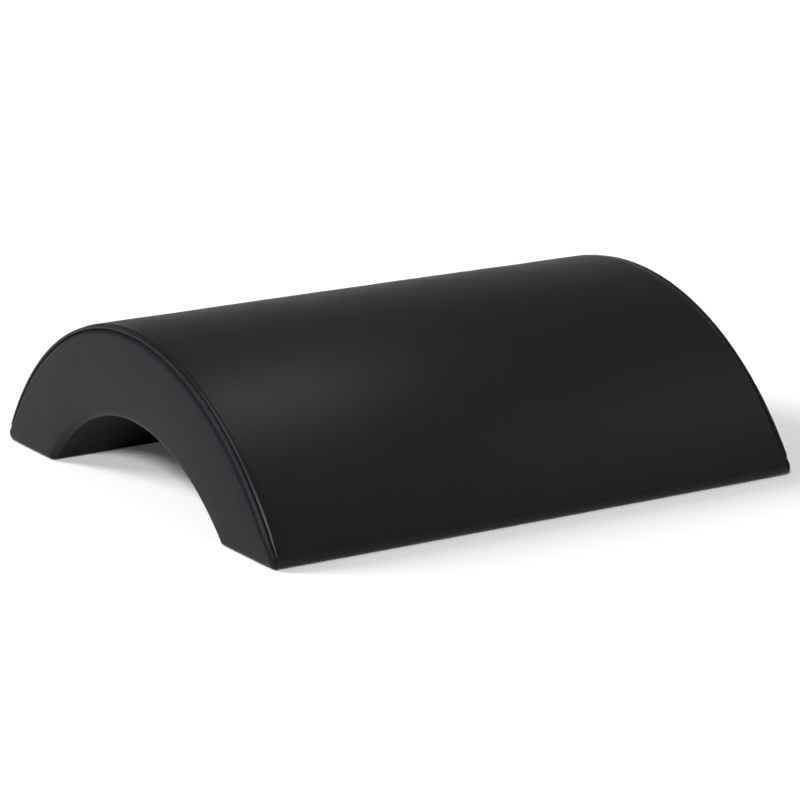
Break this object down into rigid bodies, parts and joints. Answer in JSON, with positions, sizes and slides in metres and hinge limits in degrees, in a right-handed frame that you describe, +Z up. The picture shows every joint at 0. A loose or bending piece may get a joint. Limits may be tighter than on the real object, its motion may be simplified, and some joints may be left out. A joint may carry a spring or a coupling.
{
  "type": "pilates spine corrector",
  "caption": "Padded arch for stretching the spine: a leather-covered barrel on two flat feet, with piped ends and an arched hollow right through underneath.",
  "frame": {"origin": "on the floor, under the middle of the crown", "axes": "+X along the barrel, +Y across its span towards the rear foot, +Z up"},
  "size_m": [0.6, 0.5814, 0.175],
  "materials": {
    "leather": "smooth black synthetic leather, satin",
    "piping_leather": "thin black synthetic leather, satin",
    "cord": "plain spun cord",
    "foam": "open-cell foam",
    "plywood": "sanded birch plywood",
    "pine": "planed pine",
    "rubber": "matt non-slip rubber sheet",
    "steel": "zinc-plated"
  },
  "bodies": {
    "root": {"barrel_cover": "leather", "end_cover_left": "leather", "end_cover_right": "leather", "arch_lining": "leather", "piping_left": "piping_leather", "piping_right": "piping_leather", "piping_cord_left": "cord", "piping_cord_right": "cord", "barrel_pad": "foam", "end_pad_left": "foam", "end_pad_right": "foam", "outer_skin": "plywood", "inner_skin": "plywood", "end_rib_left": "plywood", "end_rib_right": "plywood", "mid_rib_left": "plywood", "mid_rib_right": "plywood", "base_board_front": "plywood", "base_board_rear": "plywood", "crown_batten": "pine", "haunch_batten_front": "pine", "haunch_batten_rear": "pine", "foot_grip_front": "rubber", "foot_grip_rear": "rubber", "base_screw_front_1": "steel", "base_screw_front_2": "steel", "base_screw_front_3": "steel", "base_screw_front_4": "steel", "base_screw_rear_1": "steel", "base_screw_rear_2": "steel", "base_screw_rear_3": "steel", "base_screw_rear_4": "steel"}
  },
  "joints": []
}
